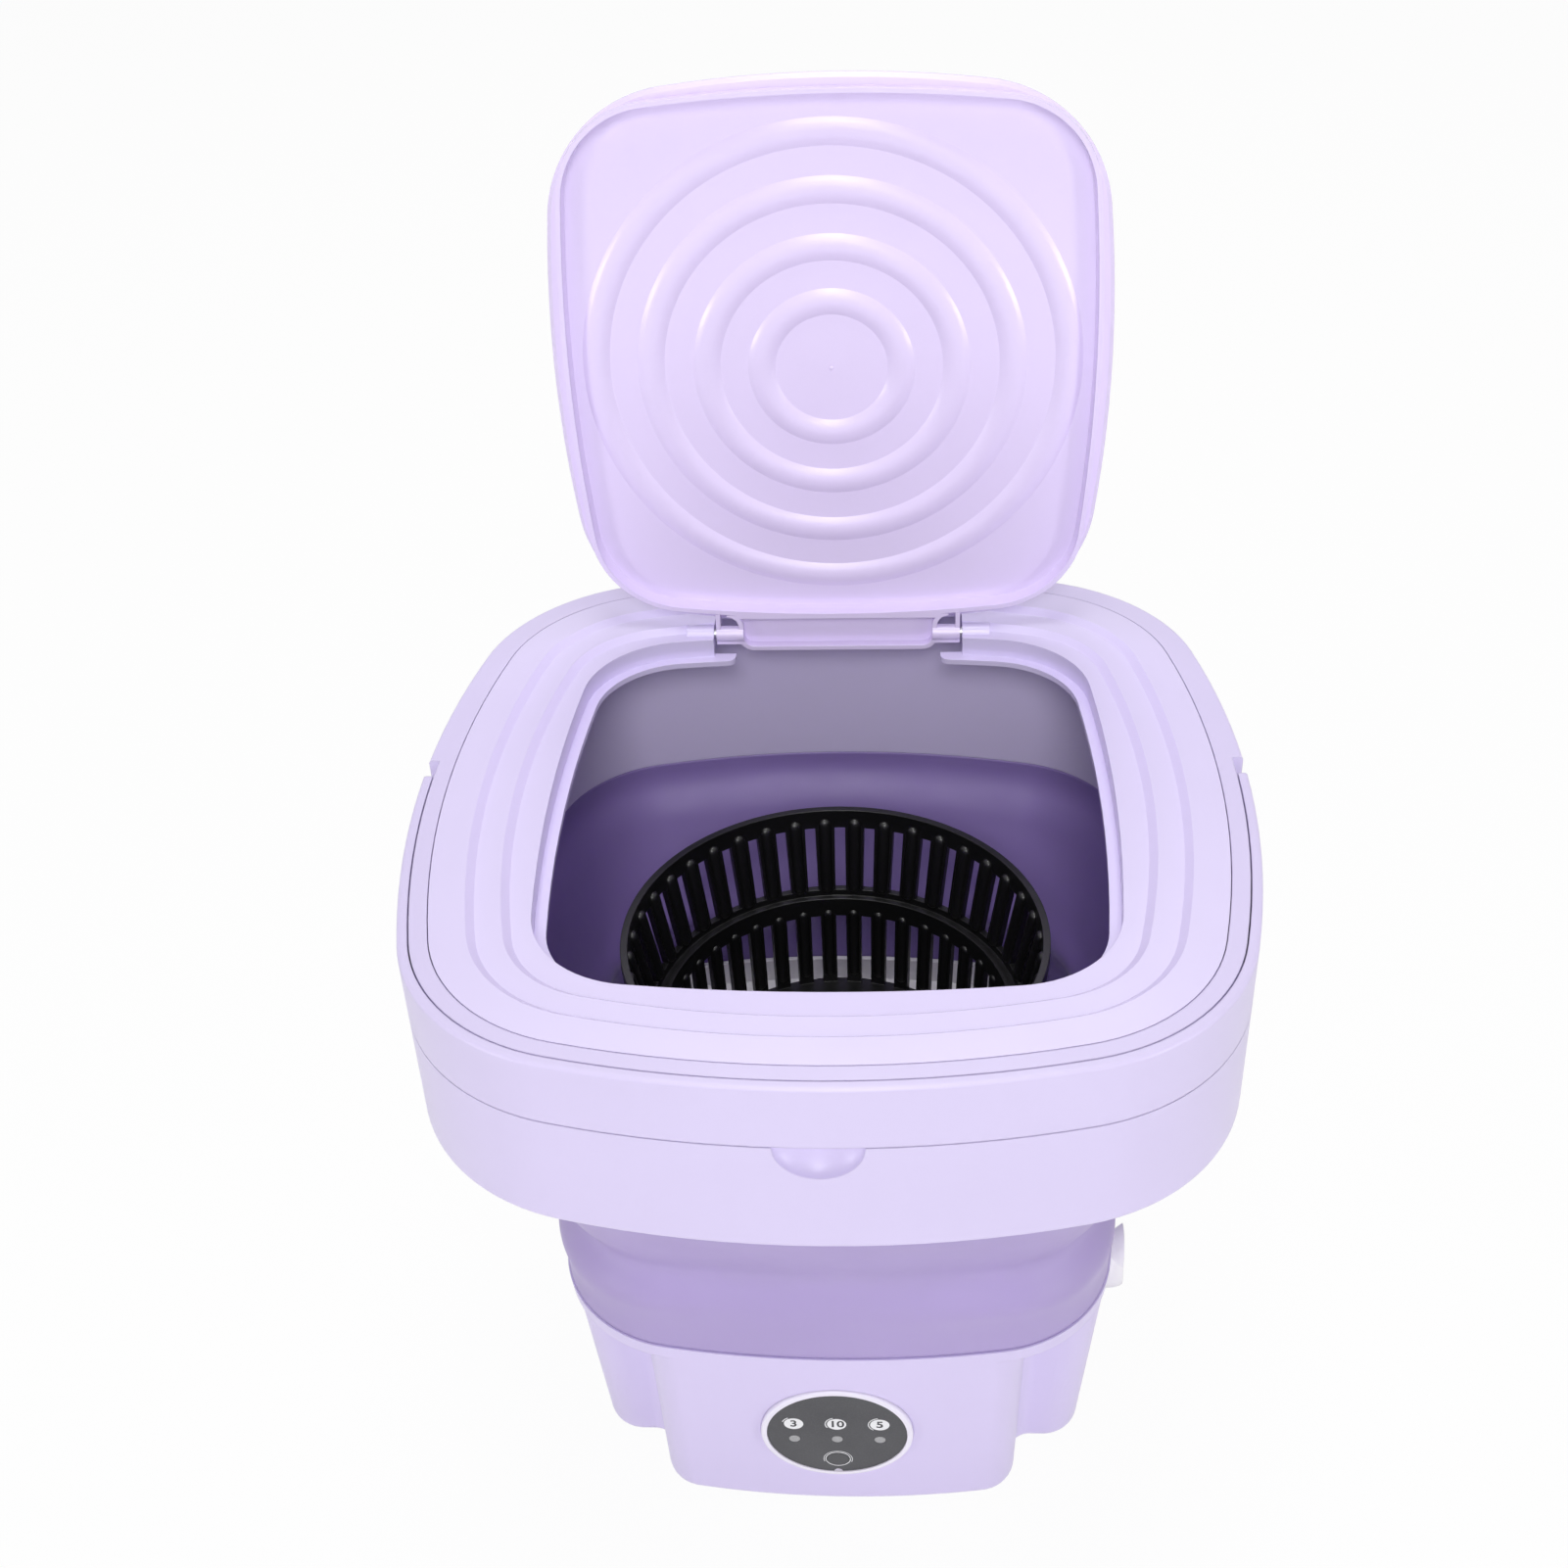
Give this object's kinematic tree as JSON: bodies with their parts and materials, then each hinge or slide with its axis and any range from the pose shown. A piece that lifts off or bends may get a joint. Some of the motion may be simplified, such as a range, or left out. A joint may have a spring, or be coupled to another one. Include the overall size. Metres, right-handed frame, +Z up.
{
  "type": "portable folding washing machine",
  "caption": "Folding tabletop washer: squared rim with carrying handle and hinged lid on a soft folding tub wall, slotted spin basket, lobed base with round control panel and drain spout",
  "frame": {"origin": "floor level, below the middle of the tub, at the centre of the object's footprint", "axes": "+Z up, -Y is the front with the control panel, +X is the machine's side with the drain spout"},
  "size_m": [0.323, 0.336, 0.5421],
  "materials": {
    "lilac_shell": "smooth",
    "lilac_top": "smooth",
    "soft_wall": "satin",
    "white_plastic": "satin",
    "black_plastic": "satin",
    "grey_plastic": "satin",
    "panel_face": "smooth",
    "lamp_window": "clear",
    "steel": "brushed",
    "motor_steel": "satin",
    "sintered_bronze": "satin",
    "nylon": "matte",
    "rubber": "matte",
    "board": "satin",
    "lamp": "clear"
  },
  "bodies": {
    "base": {"base_shell": "lilac_shell", "bottom_cover": "lilac_shell", "bottom_screws": "steel", "rubber_feet": "rubber", "tub_liner": "white_plastic", "folding_wall": "soft_wall", "motor_can": "motor_steel", "motor_screws": "steel", "motor_bracket": "steel", "bracket_screws": "steel", "lower_bush": "sintered_bronze", "shaft_bearing": "steel", "shaft_seal": "rubber", "panel_bezel": "lilac_shell", "panel_overlay": "panel_face", "lamp_windows": "lamp_window", "status_lamps": "lamp", "push_switch": "black_plastic", "control_board": "board", "power_inlet": "black_plastic", "drain_pipe": "white_plastic", "drain_gasket": "rubber"},
    "rim": {"rim_shell": "lilac_shell", "top_cover": "lilac_top", "handle_pivot_pins": "steel", "lid_hinge_pins": "steel"},
    "lid": {"lid": "lilac_top"},
    "handle": {"handle": "lilac_top"},
    "pulsator": {"pulsator": "white_plastic", "pulsator_screw": "steel", "drive_shaft": "steel", "drive_gear": "nylon", "shaft_clip": "steel"},
    "motor_rotor": {"motor_pinion": "sintered_bronze", "motor_shaft": "steel"},
    "basket": {"basket": "black_plastic"},
    "start_button": {"start_button": "panel_face"},
    "drain_spout": {"drain_spout": "white_plastic"}
  },
  "joints": [
    {"name": "tub_collapse", "type": "slide", "parent": "base", "child": "rim", "axis": [0, 0, -1], "range_m": [0, 0.11], "deforming": ["folding_wall"]},
    {"name": "lid_hinge", "type": "hinge", "parent": "rim", "child": "lid", "pos_m": [0, 0.1228, 0.301], "axis": [-1, 0, 0], "range_deg": [-90, 0]},
    {"name": "handle_swing", "type": "hinge", "parent": "rim", "child": "handle", "pos_m": [0, -0.007, 0.2935], "axis": [1, 0, 0], "range_deg": [-90, 0]},
    {"name": "pulsator_spin", "type": "hinge", "parent": "base", "child": "pulsator", "pos_m": [0, 0, 0.085], "axis": [0, 0, 1], "continuous": true},
    {"name": "motor_spin", "type": "hinge", "parent": "base", "child": "motor_rotor", "pos_m": [0, 0.0435, 0.02], "axis": [0, 0, 1], "continuous": true},
    {"name": "basket_lift", "type": "slide", "parent": "pulsator", "child": "basket", "axis": [0, 0, 1], "range_m": [0, 0.215]},
    {"name": "button_press", "type": "slide", "parent": "base", "child": "start_button", "axis": [0, 0.9955, 0.0943], "range_m": [0, 0.0005], "stiffness_N_per_m": 1000, "springref_m": -0.0005},
    {"name": "drain_swivel", "type": "hinge", "parent": "base", "child": "drain_spout", "pos_m": [0.115, 0, 0.034], "axis": [1, 0, 0], "range_deg": [0, 180]}
  ],
  "couplings": [
    {"joint": "motor_spin", "follows": "pulsator_spin", "ratio": -3.1429}
  ]
}
